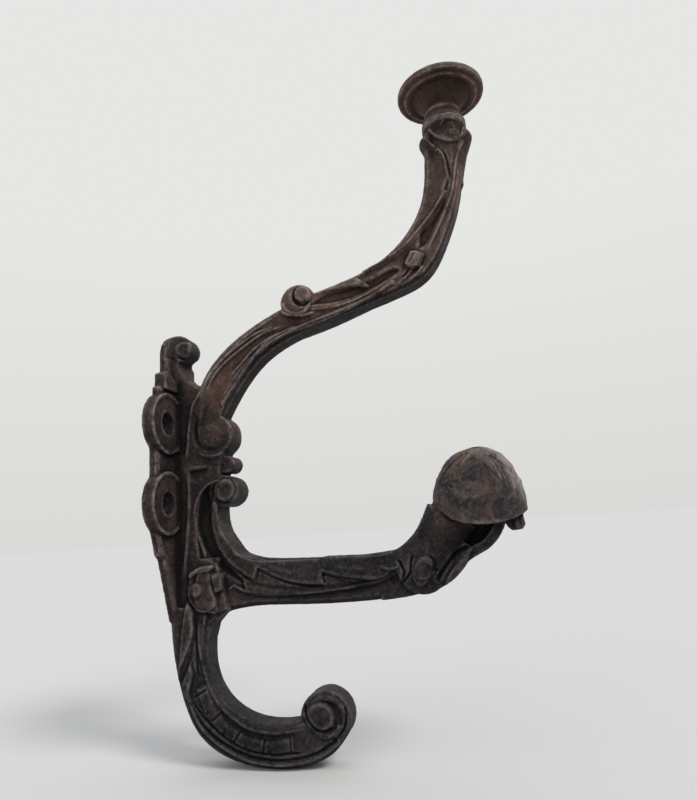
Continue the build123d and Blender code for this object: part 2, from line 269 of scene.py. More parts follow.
def carve_upper_arm(r):
    """Flutes between an edge bead and a rib, the volute on the back, the clasp, and the stem's long ribs."""
    front = [(24.2, 22.8), (29.4, 29.6), (34.9, 36.6), (42, 43.8), (53.9, 49.6), (66, 53.2), (77.8, 56.0),
             (89.7, 59.8), (98.6, 64.6)]
    r.ridge(front, 0.75, 0.9, taper=0.04)
    r.polish_and_highlight(front, 0.8, 0.9)
    hollow = [(21.5, 25), (30, 36), (41, 45), (52, 50.5), (60, 52.6), (52, 54.8), (36, 50.5), (26, 43),
              (18.5, 33)]
    r.patch(hollow, -0.4, edge=1.6, rust=0.15)
    for line in (
        [(14.6, 27.5), (17.6, 33.2), (21.4, 38.4), (26.6, 43.2), (33.4, 47.9), (40.2, 51.3), (46.8, 53.2)],
        [(17.4, 30.0), (20.6, 35.4), (26.2, 40.9), (35.2, 46.8), (42.8, 50.8), (50.7, 53.0)],
        [(28.5, 35.4), (32.7, 38.7), (37.3, 43.5), (42.7, 47.1), (49.4, 50.2)],
        [(40.0, 43.6), (44.6, 47.0), (50.0, 49.6), (55.9, 51.7)],
    ):
        r.ridge(line, 0.7, 0.85, taper=0.15)
        r.polish_and_highlight(line, 0.7, 0.6)
    back = [(12.4, 25), (16.8, 33.4), (22.8, 40.6), (33, 48.9), (43, 54.8), (50.5, 58.3)]
    r.ridge(back, 0.9, 0.55, taper=0.08)
    r.stain([(22, 24.5), (25, 31), (29.5, 37.5), (35.5, 42.5)], 3.0, 0.9)

    # volute on the back of the arm
    r.ridge(scroll((61.0, 65.2), 4.1, 4.4, 125, 0.58), 1.2, -1.1, taper=0.25, smooth=False)
    r.boss((61.0, 65.2), 3.2, 0.2, crown=0.5, edge=0.4)
    r.polish_and_highlight(scroll((61.0, 65.2), 3.3, 3.3, 240, 0.3), 0.8, 0.9)
    r.ridge([(50.5, 60.8), (52.4, 58.2), (55.4, 56.6), (60, 55.9), (66, 57.0)], 0.8, 0.9, taper=0.15)
    r.stain([(55.6, 64.3), (56.8, 61.1), (59.7, 58.9), (63.1, 59.7)], 1.5, 0.7)

    # long leaf that runs out of the volute, and the flute under it
    r.patch([(64, 60.3), (73, 59.8), (82, 61.0), (92, 64.3), (101, 68.8), (98, 70.2), (90, 67.2), (80, 64.8),
             (70, 63.6)], -0.8, edge=0.8, rust=0.5)
    r.ridge([(63.1, 58.2), (72.3, 57.8), (80.7, 59.0), (89.1, 61.8), (97, 66.0)], 0.7, 0.7, taper=0.12)
    r.patch([(66, 64.4), (72.8, 66.2), (79.5, 68.4), (84, 68.6), (88.8, 64.4), (83.2, 65.4), (77.9, 65.4)],
            0.7, edge=0.3, crown=0.3)
    r.ridge([(66, 67.4), (78, 70.4), (89, 74.0), (97, 78.6)], 0.7, 0.4, taper=0.2)
    r.stain([(66, 60.8), (74, 61), (82, 62.4)], 2.2, 1.0)
    r.stain([(88, 61.4), (93, 63.2), (98, 65.6)], 1.5, 0.7)

    # clasp: a short band tilted over the stem, with two folds running under it
    r.patch([(104.0, 71.2), (106.6, 76.4), (109.4, 76.0), (112.0, 74.2), (109.8, 69.4), (106.6, 68.4)],
            1.0, edge=0.3, crown=0.7, smooth=False)
    r.ridge([(105.4, 70.6), (108.6, 75.0)], 0.5, -0.5, taper=0.2, smooth=False)
    r.polish_and_highlight([(108.6, 70.0), (111.2, 74.2)], 1.1, 0.9)
    r.ridge([(99.5, 62.8), (104.0, 66.2), (107.4, 69.4)], 0.8, 0.8, taper=0.2)
    r.ridge([(104.4, 64.2), (108.4, 66.6), (111.4, 70.2)], 0.7, 0.7, taper=0.2)
    r.ridge([(102.0, 65.6), (105.6, 68.8)], 0.9, -0.7, taper=0.3, smooth=False)

    # stem above the clasp: a long rib, a hollow flute and the front leaf's edge
    rib = [(86.5, 70.7), (94.2, 73.7), (100.5, 76.6), (106.1, 80.4), (114.1, 88.5), (118.7, 94.2),
           (122.6, 100.0)]
    r.ridge(rib, 0.7, 0.9, taper=0.1)
    r.polish_and_highlight(rib, 0.7, 0.9)
    edge = [(113.8, 76.6), (116.8, 81.7), (120, 87.5), (123, 93.5), (125.6, 99.6), (128.0, 110.4),
            (129.4, 114.8), (132.0, 120.0)]
    r.ridge(edge, 0.7, 0.9, taper=0.08)
    r.polish_and_highlight(edge, 0.7, 0.7)
    r.patch([(110.2, 77.5), (113.4, 79.0), (117.6, 86), (121.4, 93), (123.6, 100), (124.6, 105.6),
             (121.6, 98.6), (117.2, 91.2), (111.6, 84.0)], -0.8, edge=0.8, rust=0.5)
    r.stain([(111.6, 77.6), (113.6, 80.6), (117.6, 87)], 1.9, 1.0)
    r.ridge([(92, 75.6), (99.4, 80.6), (105.4, 86.4), (110.2, 93.6), (113.4, 101), (115.4, 109)], 0.8, 0.4,
            taper=0.15)
    r.ridge([(127.2, 96.0), (129.2, 104.0), (130.0, 112.0)], 1.6, -0.35, taper=0.3)


def carve_collar(r):
    """The bib with its medallion that hangs from the collar over the parted leaves."""
    bib = [(116.6, 131.8), (117.6, 129.4), (120.6, 125.2), (124.4, 122.2), (128.6, 121.0), (132.4, 122.0),
           (134.4, 124.6), (135.4, 131.8)]
    r.patch(bib, 0.45, edge=0.35, crown=0.5)
    lip = [(119.0, 128.4), (121.4, 124.8), (124.6, 122.3), (128.4, 121.2), (132.2, 122.2), (134.0, 124.4)]
    r.ridge(lip, 0.6, 0.5, taper=0.1)
    r.polish_and_highlight(lip, 0.7, 0.9)
    oval = [(128.2 + 4.0 * cos(a), 126.0 + 2.9 * sin(a)) for a in np.linspace(0, 2 * pi, 24)]
    r.ridge(oval, 0.6, -0.2, taper=0.0, smooth=False)
    r.boss((128.2, 126.0), 2.4, 0.0, crown=0.3, edge=0.8)
    r.ridge([(128.2, 126.2), (128.4, 126.0)], 0.6, -0.4, taper=0.0, smooth=False)
    r.polish_and_highlight([(117.4, 132.2), (125, 132.0), (134, 132.2)], 0.7, 0.9)
    # leaf edges either side of the V and the seam of the stem between them
    back = [(119.8, 120.4), (122.6, 117.6), (123.9, 113.8), (124.2, 110.0), (124.6, 105.4)]
    r.ridge(back, 0.6, 0.7, taper=0.1)
    r.polish_and_highlight(back, 0.7, 0.8)
    r.ridge([(f + 1.0, z - 0.6) for f, z in back], 0.9, -0.5, taper=0.2)
    r.ridge([(127.2, 119.4), (126.7, 111.0)], 0.4, 0.2, taper=0.2)
    r.stain([(126.4, 112.0), (125.6, 106.5)], 1.3, 1.0)


def carve_finial(r):
    """The top scroll: a rounded strip on the back, a soft fold, and an eye that stands in its ring."""
    r.ridge([(9.4, 37.4), (6.4, 41.2), (3.6, 44.6), (3.2, 49.0), (4.4, 52.6)], 1.3, -0.7, taper=0.2)
    r.ridge([(1.8, 45.0), (1.2, 49.6), (2.6, 53.2), (5.8, 54.9), (9.0, 53.6)], 1.3, 0.6, taper=0.2)
    r.boss((7.8, 48.9), 3.3, 0.5, crown=0.3, edge=0.4)
    r.ridge([(4.6, 46.4), (6.8, 44.6), (9.8, 45.2), (11.6, 47.6)], 1.1, -0.9, taper=0.25)
    r.polish_and_highlight([(5.0, 47.4), (7.0, 45.8), (9.6, 46.4)], 0.7, 1.0)


def carve_trunk(r):
    """The two front volutes, the ledge, the hollow spoon, the C-scroll band and the clasp."""
    # upper volute: a broad low eye in a ring that opens up into the arm's back edge
    centre = (19.5, 10.8)
    r.ridge([(13.4, 21.0), (12.3, 15.2), (12.5, 10.2), (14.4, 5.9), (17.0, 3.8)], 1.8, -0.6, taper=0.3)
    r.boss(centre, 4.8, 0.0, crown=0.6, edge=1.0)
    r.ridge(scroll(centre, 6.0, 6.2, 190, 0.5), 1.5, -0.5, taper=0.35, smooth=False)
    ring = [(14.8, 3.6), (17.0, 2.4), (20.0, 2.1), (22.8, 2.8), (25.6, 5.2), (27.2, 8.7), (26.8, 12.4)]
    r.ridge(ring, 0.8, 0.8, taper=0.15)
    r.polish_and_highlight(ring, 0.8, 0.8)
    r.ridge([(14.8, 29.4), (11.4, 24.4), (9.9, 18.0), (9.1, 11.9), (8.6, 5.7), (7.6, 1.2)], 1.0, 0.8,
            taper=0.15)
    r.ridge([(18.0, 25.4), (16.4, 20.6), (15.6, 16.4)], 2.0, -0.4, taper=0.4)
    r.stain([(18.4, 14), (21, 10), (18.4, 7.6)], 2.2, 0.3)
    # ledge and hollow spoon below it
    r.step([(18.4, -2.0), (13, -2.2), (7.3, -2.7)], -0.9, 6.5, edge=0.4, taper=0.3)
    r.ridge([(7.4, -2.2), (12, -1.9), (17.2, -1.6)], 0.6, 0.5, taper=0.2)
    r.polish_and_highlight([(7.6, -2.5), (12, -2.1), (16.6, -1.8)], 0.7, 1.0)
    scallop = [(21.6, -7.8), (17.3, -9.3), (14.0, -12.3), (11.8, -16.4), (10.9, -21.3)]
    r.ridge(scallop, 0.7, 0.9, taper=0.1)
    r.polish_and_highlight(scallop, 0.7, 0.7)
    r.patch([(19.6, -9.8), (16.0, -12.2), (13.2, -16.4), (12.2, -23), (13.2, -30), (17.4, -37.5),
             (24, -43.6), (30, -47.0), (26, -41.4), (21.4, -35.2), (18.8, -29), (18.0, -22), (19.2, -16)],
            -0.9, edge=0.9)
    r.ridge([(11.6, -24), (12.8, -30), (14.6, -35.6), (15.6, -39.6)], 0.9, 0.55, taper=0.3)
    lit = [(8.7, -3), (9.0, -14.6), (8.0, -30), (6.4, -43)]
    r.ridge(lit, 1.1, 0.6, taper=0.15)
    r.polish_and_highlight(lit, 0.9, 0.4)
    # lower volute: a flat round button over the scroll's head
    r.boss((26.2, -12.4), 4.6, 0.35, crown=0.5, edge=0.6)
    # C-scroll band: a flat face with a crisp inner edge and a deep shadow along it
    inner = [(20.6, -17.4), (19.3, -21.9), (19.8, -27.2), (21.5, -32.5), (24.2, -37.1), (27.4, -41.0),
             (31.4, -44.3), (35.6, -46.6)]
    r.ridge([(f - 0.9, z - 0.5) for f, z in inner], 0.9, -0.9, taper=0.06)
    r.polish_and_highlight(inner, 0.6, 0.6)
    # clasp: cross-bar, leaning tongue, rosette and block
    r.patch([(8.4, -43.8), (12.6, -41.2), (18.8, -40.6), (17.6, -42.6), (12.6, -43.2), (9.2, -45.0)], 0.9,
            edge=0.3)
    r.patch([(12.6, -43.0), (17.0, -42.4), (18.4, -48.2), (20.0, -54.8), (17.0, -57.4), (12.2, -56.6),
             (11.0, -50.4)], 0.6, edge=0.4, crown=0.6)
    r.patch([(18.4, -44.6), (22.9, -43.6), (22.8, -49.8), (19.8, -50.8)], 0.5, edge=0.3, smooth=False)
    r.boss((12.2, -49.4), 2.5, 0.5, crown=0.3, edge=0.3)
    r.ridge([(8.4, -52.9), (9.6, -53.6), (12.2, -56.8), (16.4, -57.7), (20.2, -58.4)], 0.7, 0.9, taper=0.12)
    r.ridge([(8.8, -47.4), (8.6, -52.2)], 0.6, 0.6, taper=0.2)
    r.ridge([(24.2, -50.4), (26.6, -48.6), (31, -50.6)], 0.6, 0.8, taper=0.2, smooth=False)
    r.polish_and_highlight([(9.4, -43.3), (13.7, -41.4), (18.4, -41.0)], 0.9, 1.0)
    r.polish_and_highlight([(18.6, -44.4), (22.8, -43.9)], 0.8, 0.7)


def carve_middle_arm(r):
    """Leaf lobes with sharp tips, the leaf's long lower edge over the keel, and the elbow's folds."""
    for line in (
        [(37.0, -42.0), (39.4, -43.0), (43.3, -45.2), (50, -47.8), (56.6, -49.2), (62.6, -49.6)],
        [(62.4, -44.9), (69.4, -46.9), (76.9, -48.1), (82.5, -48.6), (86.8, -47.8)],
    ):
        r.ridge([(f, z - 0.8) for f, z in line], 0.9, -0.8, taper=0.05)
        r.polish_and_highlight([(f, z + 0.2) for f, z in line], 0.6, 0.6)
    for tip in ([(62.5, -49.4), (61.9, -47.2), (62.4, -45.1)], [(35.6, -46.6), (36.2, -44.4), (36.8, -42.2)]):
        r.ridge([(f + 0.8, z) for f, z in tip], 0.7, -0.6, taper=0.1)
        r.polish_and_highlight(tip, 0.6, 0.7)
    r.ridge([(30, -46.4), (40, -49.4), (50, -50.6), (62, -50.8), (74, -50.2), (84, -48.9)], 1.4, -0.4,
            taper=0.15)
    lower = [(26.4, -48.8), (31, -50.8), (36.2, -52.1), (45.8, -52.9), (57.1, -52.7), (65.2, -52.3),
             (74.4, -51.3), (84.6, -49.4), (90.8, -46.5)]
    r.ridge(lower, 0.7, 0.55, taper=0.05)
    r.polish_and_highlight(lower, 0.6, 0.5)
    r.ridge([(40, -41.8), (46, -43.6), (53, -46.0)], 1.6, 0.35, taper=0.3)
    r.ridge([(66, -43.0), (74, -44.6), (82, -45.0)], 1.6, 0.35, taper=0.3)
    # curled leaf end, the fold beside it, the petal and the pointed leaf of the elbow
    r.ridge([(84, -44.2), (88.4, -45.6), (91.2, -44.6), (90.4, -42.2)], 0.9, 0.7, taper=0.2)
    r.ridge([(91.4, -42.0), (92.6, -44.4), (93.4, -47.2), (92.2, -49.8)], 0.9, -1.0, taper=0.2)
    r.ridge([(97.0, -40.6), (96.2, -43.6), (95.4, -47.4), (91.4, -51.4)], 0.9, -0.9, taper=0.15)
    r.patch([(96.4, -49.4), (97.4, -45.0), (101.6, -41.8), (104.2, -44.4), (101.6, -50.6), (98.4, -52.2)],
            0.5, edge=0.4, crown=0.6)
    r.polish_and_highlight([(97.2, -46.4), (99.4, -42.8), (102.0, -41.9)], 0.6, 0.5)
    r.ridge([(102.8, -41.2), (105.2, -43.8), (104.4, -47.6)], 0.8, -0.5, taper=0.35)
    leaf = [(107.4, -52.2), (109.6, -48.2), (112.6, -45.2), (118.4, -40.2), (118.8, -38.6), (116.8, -43.2),
            (112.4, -49.2), (109.4, -51.6)]
    r.patch(leaf, 1.1, edge=0.3, crown=0.2)
    r.polish_and_highlight([(108.4, -50.4), (112.2, -45.8), (118.2, -39.8)], 0.6, 0.8)
    r.ridge([(104.6, -50.8), (107.6, -46.6), (112.2, -41.6), (118.0, -38.8)], 1.2, -1.1, taper=0.12)


def carve_lower_hook(r):
    """Two leaf tongues on the stem, the row of blocks between two rims, and the curl."""
    rim_in = [(12.4, -64.0), (13.1, -71.3), (14.2, -76.7), (16.9, -85.2), (21.5, -91.7), (26.6, -95.8),
              (32.3, -98.9), (39.9, -100.2), (47.5, -99.9), (52.5, -99.0)]
    rim_out = [(8.7, -90.6), (12.6, -97.8), (18.5, -103.2), (26.2, -107.5), (33.8, -110.0), (43.6, -110.9),
               (52.6, -110.0), (59.2, -107.8), (64.8, -104.0), (68.4, -99.0), (68.8, -93.2), (66.9, -89.6),
               (63.8, -87.6)]
    r.ridge(rim_in, 0.8, 0.7, taper=0.08)
    r.polish_and_highlight(rim_in, 0.7, 0.35)
    r.ridge(rim_out, 0.7, 0.7, taper=0.05)
    r.polish_and_highlight(rim_out, 0.7, 0.6)
    r.ridge([(f * 0.985 + 0.4, z * 0.975 - 1.2) for f, z in rim_out], 0.8, -0.8, taper=0.1)
    # row of blocks
    r.ridge([(10.3, -89.6), (12.7, -93.4), (17.8, -98.2), (24.4, -102.9), (32, -106.1), (41.5, -107.4),
             (52, -106.9)], 0.7, -0.9, taper=0.06)
    for low, high in (
        ((10.8, -87.8), (15.3, -85.4)),
        ((17.5, -96.1), (21.5, -93.1)),
        ((25.5, -103.9), (28.4, -100.0)),
        ((37, -106.8), (37.9, -102.4)),
        ((47.6, -106.1), (47.4, -102.0)),
    ):
        r.ridge([low, high], 0.55, -0.8, taper=0.0, smooth=False)
    # leaf tongues
    for leaf in (
        [(7.6, -54.4), (10.6, -58.0), (10.4, -64.4), (8.4, -71.0), (5.6, -77.0), (4.0, -82.0), (5.2, -70.0),
         (6.2, -62.0)],
        [(9.3, -75.6), (9.7, -80.2), (8.7, -85.0), (9.4, -90.0), (7.4, -88.4), (5.6, -84.4), (7.2, -80.0)],
    ):
        r.patch(leaf, 0.8, edge=0.35, crown=0.3)
    r.polish_and_highlight([(10.2, -58.6), (10.1, -64.8), (7.9, -71.3), (5.3, -76.6)], 0.6, 0.9)
    r.polish_and_highlight([(9.1, -76.7), (9.4, -80.2), (8.3, -84.6)], 0.6, 0.9)
    r.ridge([(11.8, -59.5), (11.6, -68), (11.8, -76), (12.6, -82)], 0.9, -0.6, taper=0.2)
    # curl
    r.ridge([(52.8, -90.6), (53.4, -94.2), (54.9, -97.3), (57.6, -99.6), (60.6, -99.9), (63.2, -98.6)], 0.9,
            -1.2, taper=0.12)
    r.boss((58.7, -95.3), 4.9, 0.2, crown=0.5, edge=0.35)


def carve_cap(r):
    """The front petal's raised band with a groove along it, and faint seams, down the round of the cap."""
    def down(angles, top=-5.2, foot=-20.0):
        heights = np.linspace(top, foot, len(angles))
        return [(a * cap_radius(z), z) for a, z in zip(np.radians(angles), heights)]

    petal = (65, 55, 50, 47, 46, 46)
    r.ridge(down(petal), 0.75, -0.9, taper=0.08)
    r.ridge(down([a - 6 for a in petal]), 0.9, 0.5, taper=0.08)
    r.polish_and_highlight(down([a - 7 for a in petal]), 1.2, 1.0)
    # a broad painted highlight on the lit side of the front petal
    r.polish_and_highlight(down([a - 28 for a in petal]), 10.0, 1.0)
    r.ridge(down([62, 58, 57], -10.0, -16.5), 0.7, 0.35, taper=0.3)
    r.polish_and_highlight(down([62, 58, 57], -10.0, -16.5), 0.6, 0.7)
    r.ridge(down((126, 136, 150, 160)), 0.7, -0.7, taper=0.15)
    r.ridge(down((104, 112, 122), -5.2, -12.0), 0.6, -0.4, taper=0.2)
    r.ridge(down((98, 106, 116), -5.2, -12.0), 0.7, 0.35, taper=0.2)
    r.stain(down((112, 118, 124, 126), -7.0, -15.0), 2.2, 0.5)
    r.stain(down((80, 76, 74), -14.0, -26.0), 3.0, 0.3)
    r.ridge([(0, -17.2), (4, -17.6), (8, -18.4)], 1.4, 0.35, taper=0.0)


# ---------------------------------------------------------------- meshes


def turned(profile, forward, smooth=True):
    """A closed solid turned about an upright axis, forward from the wall; profile is (radius, up)."""
    ring = np.linspace(0, 2 * pi, TURNED_SEGMENTS, endpoint=False)
    points = curve(profile, 6) if smooth else np.array(profile)
    vertices = []
    for radius, up in points:
        radius = max(radius, 0.02)
        vertices += [(radius * cos(a) * MM, (-forward + radius * sin(a)) * MM, up * MM) for a in ring]
    faces = []
    for i in range(len(points) - 1):
        this, above = i * TURNED_SEGMENTS, (i + 1) * TURNED_SEGMENTS
        for j in range(TURNED_SEGMENTS):
            k = (j + 1) % TURNED_SEGMENTS
            faces.append((this + j, this + k, above + k, above + j))
    faces.append(tuple(range(TURNED_SEGMENTS))[::-1])
    faces.append(tuple((len(points) - 1) * TURNED_SEGMENTS + j for j in range(TURNED_SEGMENTS)))
    mesh = bpy.data.meshes.new("turned")
    mesh.from_pydata(vertices, [], faces)
    mesh.update()
    return mesh


def cap_radius(z):
    """The cap's outer radius at a height: a round crown that eases out into the skirt."""
    crown = np.sqrt(max(CAP_CROWN_R**2 - max(z - CAP_CROWN_Z, 0.0) ** 2, 0.0))
    return crown + CAP_SKIRT_FLARE * ease((-10.0 - z) / 14.0)


def extra_forms():
    """Smooth turned forms laid over the casting's own, to round what the solid has in flats."""
    collar = [(0.5, 128), (7.2, 128), (8.8, 129.8), (9.2, 131.5), (8.7, 133.6), (7.2, 136.4)]
    neck = [(7.6, 138.0), (6.9, 139.6), (7.6, 141.4), (9.8, 144.2), (12.2, 146.2)]
    ring = [(13.6, 146.9), (14.8, 146.1), (15.6, 146.7)]
    rim = [(16.6, 147.1), (17.5, 146.9), (18.0, 147.6), (17.9, 148.7), (16.9, 149.8)]
    crown = [(14.6, 151.5), (12.4, 152.95), (9.5, 154.45), (6.6, 155.5), (3.3, 156.2), (0.5, 156.4)]
    knob = turned(collar + neck + ring + rim + crown, KNOB_FORWARD)
    inside_cap = [(0.5, -16.9), (13.0, -16.9), (13.0, -24.0)]
    heights = np.linspace(-24.2, CAP_CROWN_Z + CAP_CROWN_R - 0.05, 16)
    cap = turned(inside_cap + [(cap_radius(z), z) for z in heights], CAP_FORWARD, smooth=False)
    return [knob, cap]


def apply_modifier(mesh, kind, **settings):
    """The mesh with one modifier applied; the old mesh is dropped."""
    holder = bpy.data.objects.new("holder", mesh)
    bpy.context.scene.collection.objects.link(holder)
    modifier = holder.modifiers.new("m", kind)
    for key, value in settings.items():
        setattr(modifier, key, value)
    bpy.context.view_layer.update()
    result = bpy.data.meshes.new_from_object(holder.evaluated_get(bpy.context.evaluated_depsgraph_get()))
    bpy.data.objects.remove(holder)
    bpy.data.meshes.remove(mesh)
    return result


def blank():
    """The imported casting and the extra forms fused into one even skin."""
    bm = bmesh.new()
    bm.from_mesh(bpy.data.objects[NODE].data)
    for mesh in extra_forms():
        bm.from_mesh(mesh)
        bpy.data.meshes.remove(mesh)
    bmesh.ops.remove_doubles(bm, verts=bm.verts, dist=1e-6)
    mesh = bpy.data.meshes.new("hook_skin")
    bm.to_mesh(mesh)
    bm.free()
    return apply_modifier(mesh, "REMESH", mode="VOXEL", voxel_size=VOXEL)


class Skin:
    """A mesh as arrays, with averaging over neighbours and vertex normals."""

    def __init__(self, mesh):
        self.mesh = mesh
        self.points = np.empty(len(mesh.vertices) * 3)
        mesh.vertices.foreach_get("co", self.points)
        self.points = self.points.reshape(-1, 3)
        edges = np.empty(len(mesh.edges) * 2, np.int64)
        mesh.edges.foreach_get("vertices", edges)
        edges = edges.reshape(-1, 2)
        self.tail = np.concatenate([edges[:, 0], edges[:, 1]])
        self.head = np.concatenate([edges[:, 1], edges[:, 0]])
        self.count = np.maximum(np.bincount(self.tail, minlength=len(self.points)), 1)

    def places(self):
        """Across, forward and up of every point, in millimetres."""
        return self.points[:, 0] / MM, -self.points[:, 1] / MM, self.points[:, 2] / MM

    def average(self, values):
        values = values.reshape(len(self.points), -1)
        out = np.empty_like(values)
        for i in range(values.shape[1]):
            out[:, i] = np.bincount(self.tail, values[self.head, i], len(self.points)) / self.count
        return out

    def smooth(self, rounds):
        """Taubin smoothing, which rounds edges and keeps the volume."""
        for _ in range(rounds):
            self.points += 0.55 * (self.average(self.points) - self.points)
            self.points -= 0.57 * (self.average(self.points) - self.points)

    def melt(self, weight, rounds):
        """Plain smoothing where weight is 1, to lose small steps."""
        for _ in range(rounds):
            self.points += weight[:, None] * (self.average(self.points) - self.points)

    def write(self):
        self.mesh.vertices.foreach_set("co", self.points.ravel())
        self.mesh.update()

    def normals(self):
        self.write()
        out = np.empty(len(self.points) * 3)
        self.mesh.vertices.foreach_get("normal", out)
        return out.reshape(-1, 3)

    def hollowness(self, rounds):
        """How far the skin sinks below its surroundings, in millimetres: positive in hollows."""
        blurred = self.points.copy()
        for _ in range(rounds):
            blurred = self.average(blurred)
        return ((blurred - self.points) * self.normals()).sum(1) / MM

    def store(self, name, values):
        """Keeps a value per point, which the material reads by that name."""
        layer = self.mesh.attributes.new(name, "FLOAT", "POINT")
        layer.data.foreach_set("value", np.asarray(values, np.float32))


def side_chart(skin, normals):
    """The side faces, seen square on; the weight keeps carving off the parts that face another way."""
    x, out, up = skin.places()
    side = np.abs(x)
    weight = ease((np.abs(normals[:, 0]) - 0.25) / 0.45) * (side > 2.0) * (side < 11.0)
    return Relief(np.c_[out, up], weight)


def cap_chart(skin, normals):
    """The outside of the cap, unrolled: distance round from the front, and height."""
    x, out, up = skin.places()
    out = out - CAP_FORWARD
    radius = np.hypot(x, out)
    facing = (normals[:, 0] * x - normals[:, 1] * out) / np.maximum(radius, 0.1) + normals[:, 2]
    weight = (radius < 18.5) * (radius > 5.0) * (up > -32.0) * (up < 0.0) * ease((facing - 0.3) / 0.4)
    weight = weight * (radius > 13.6 * ease((-7.0 - up) / 6.0))
    return Relief(np.c_[np.abs(np.arctan2(x, out)) * radius, up], weight)


def lattice(points, size, seed):
    """Smooth random values from 0 to 1 over space, with bumps of about the given size in millimetres."""
    grid = np.random.default_rng(seed).random((64, 64, 64))
    place = points / MM / size
    cell = np.floor(place).astype(int)
    t = ease(place - cell)
    total = np.zeros(len(points))
    for dx in (0, 1):
        for dy in (0, 1):
            for dz in (0, 1):
                corner = grid[(cell[:, 0] + dx) % 64, (cell[:, 1] + dy) % 64, (cell[:, 2] + dz) % 64]
                wx, wy, wz = (t[:, i] if d else 1 - t[:, i] for i, d in enumerate((dx, dy, dz)))
                total += corner * wx * wy * wz
    return total


def soften(skin):
    """Rounds all edges a little and the cap's apex more, and clears the faces that are carved afresh."""
    skin.smooth(2)
    x, out, up = skin.places()
    apex = np.hypot(x, out - CAP_FORWARD)
    skin.melt(ease((8.0 - apex) / 3.0) * (up > -9) * (up < 0), 40)
    x, out, up = skin.places()
    square_on = ease((np.abs(skin.normals()[:, 0]) - 0.45) / 0.3) * (np.abs(x) > 2)
    redrawn = np.zeros(len(x))
    for (forward, height), reach in REDRAWN:
        redrawn = np.maximum(redrawn, ease((reach - np.hypot(out - forward, up - height)) / 2.5))
    skin.melt(redrawn * square_on, 110)


def carve(skin, normals):
    """Cuts the carving and the grain into the skin, and gives both charts and where the cap is."""
    sides = side_chart(skin, normals)
    carve_upper_arm(sides)
    carve_collar(sides)
    carve_finial(sides)
    carve_trunk(sides)
    carve_middle_arm(sides)
    carve_lower_hook(sides)
    cap = cap_chart(skin, normals)
    carve_cap(cap)
    rough = lattice(skin.points, COARSE_GRAIN, 1) + 0.6 * lattice(skin.points, FINE_GRAIN, 2) - 0.8
    on_cap = (cap.weight > 0) * ease((skin.points[:, 2] / MM + 32) / 2)
    pitted = GRAIN_HEIGHT + CAP_GRAIN_HEIGHT * on_cap * ease((cap.flat[:, 0] - 22) / 12)
    skin.points[:, 0] += np.sign(skin.points[:, 0]) * sides.height * sides.weight * MM
    skin.points += normals * ((cap.height * cap.weight + rough * pitted) * MM)[:, None]
    low, high = (np.array(v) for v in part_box(NODE))
    skin.points = np.clip(skin.points, low, high)
    skin.write()
    return sides, cap, on_cap


def age(skin, normals, sides, cap, on_cap):
    """Stores where the iron is brown or rusty, where it is rubbed pale with a painted highlight, and where it
    takes painted shade, for the material to read.
    """
    x, out, up = skin.places()
    on_knob = ease((up - KNOB_FOOT_Z) / 5)
    # brown on the upper arm and faintly on the trunk, black below
    brown = ease((up + 12) / 50) * ease((out - 3) / 16)
    brown = np.maximum(brown, 0.26 * ease((up + 80) / 30) * ease((46 - out) / 18))
    # darker towards the bottom of the lower hook's bowl
    darker_bowl = ease((-86 - up) / 10) * ease((56 - out) / 8)
    # painted shade on faces that look down
    downward_shade = ease((-normals[:, 2] - 0.15) / 0.4) * (np.abs(x) < 11)
    # edges stand out over a few points, hollows sink over a few up to many
    fine, middle, broad = skin.hollowness(3), skin.hollowness(30), skin.hollowness(150)
    edge = np.clip((-fine - 0.025) / 0.08, 0, 1)
    # hollows get painted shade, darker the deeper they sink
    hollow = np.maximum(fine - 0.02, 0) / 0.25 + np.maximum(middle, 0) / 0.9 + np.maximum(broad, 0) / 2.4
    # the screw holes are filled with painted shade
    bore = np.hypot(np.abs(x) - SCREW_X, np.abs(up) - SCREW_Z)
    hollow = np.maximum(hollow, 0.9 * ease((5.0 - bore) / 1.2) * (out < 6))
    # painted shade in the hollow beneath the knob, on faces that look down
    recess_shade = on_knob * ease((KNOB_RECESS_R - np.hypot(x, out - KNOB_FORWARD)) / 1.5)
    recess_shade *= ease((-normals[:, 2] - 0.2) / 0.4)
    # the ears stand out furthest; their rims are rubbed and carry a painted highlight
    outer = ease((np.abs(x) - 12) / 3) * (on_cap < 0.5) * (on_knob < 0.5)
    bare_and_highlight = np.maximum(np.maximum(sides.bare_and_highlight * sides.weight, cap.bare_and_highlight * cap.weight), 1.5 * outer * edge)
    skin.store("brown", np.maximum(brown, 0.75 * on_cap))
    skin.store("rust", np.clip(sides.rust + cap.rust * cap.weight + 0.25 * on_knob, 0, 1))
    skin.store("cap", on_cap)
    skin.store("downward_shade", downward_shade * (1 - on_knob))
    # edges carry pale wear and a painted highlight, less in the darker bowl
    skin.store("edge", edge * (0.55 + 0.45 * brown) * (1 - 0.4 * darker_bowl))
    skin.store("bare_and_highlight", np.clip(bare_and_highlight, 0, 1))
    skin.store("shade_in_hollows", np.clip(hollow * (1 - 0.6 * on_knob) + 0.3 * darker_bowl + 0.4 * recess_shade, 0, 1))


def sculpt():
    """The carved casting as one piece, with its wear, rust, painted shade and painted highlights stored on
    it.
    """
    skin = Skin(blank())
    soften(skin)
    normals = skin.normals().copy()
    age(skin, normals, *carve(skin, normals))
    mesh = skin.mesh
    triangles = 2 * len(mesh.polygons)
    if triangles > MAX_TRIANGLES:
        mesh = apply_modifier(mesh, "DECIMATE", ratio=MAX_TRIANGLES / triangles)
    for polygon in mesh.polygons:
        polygon.use_smooth = True
    piece = bpy.data.objects.new("carved_casting", mesh)
    bpy.context.scene.collection.objects.link(piece)
    return piece


# ---------------------------------------------------------------- materials


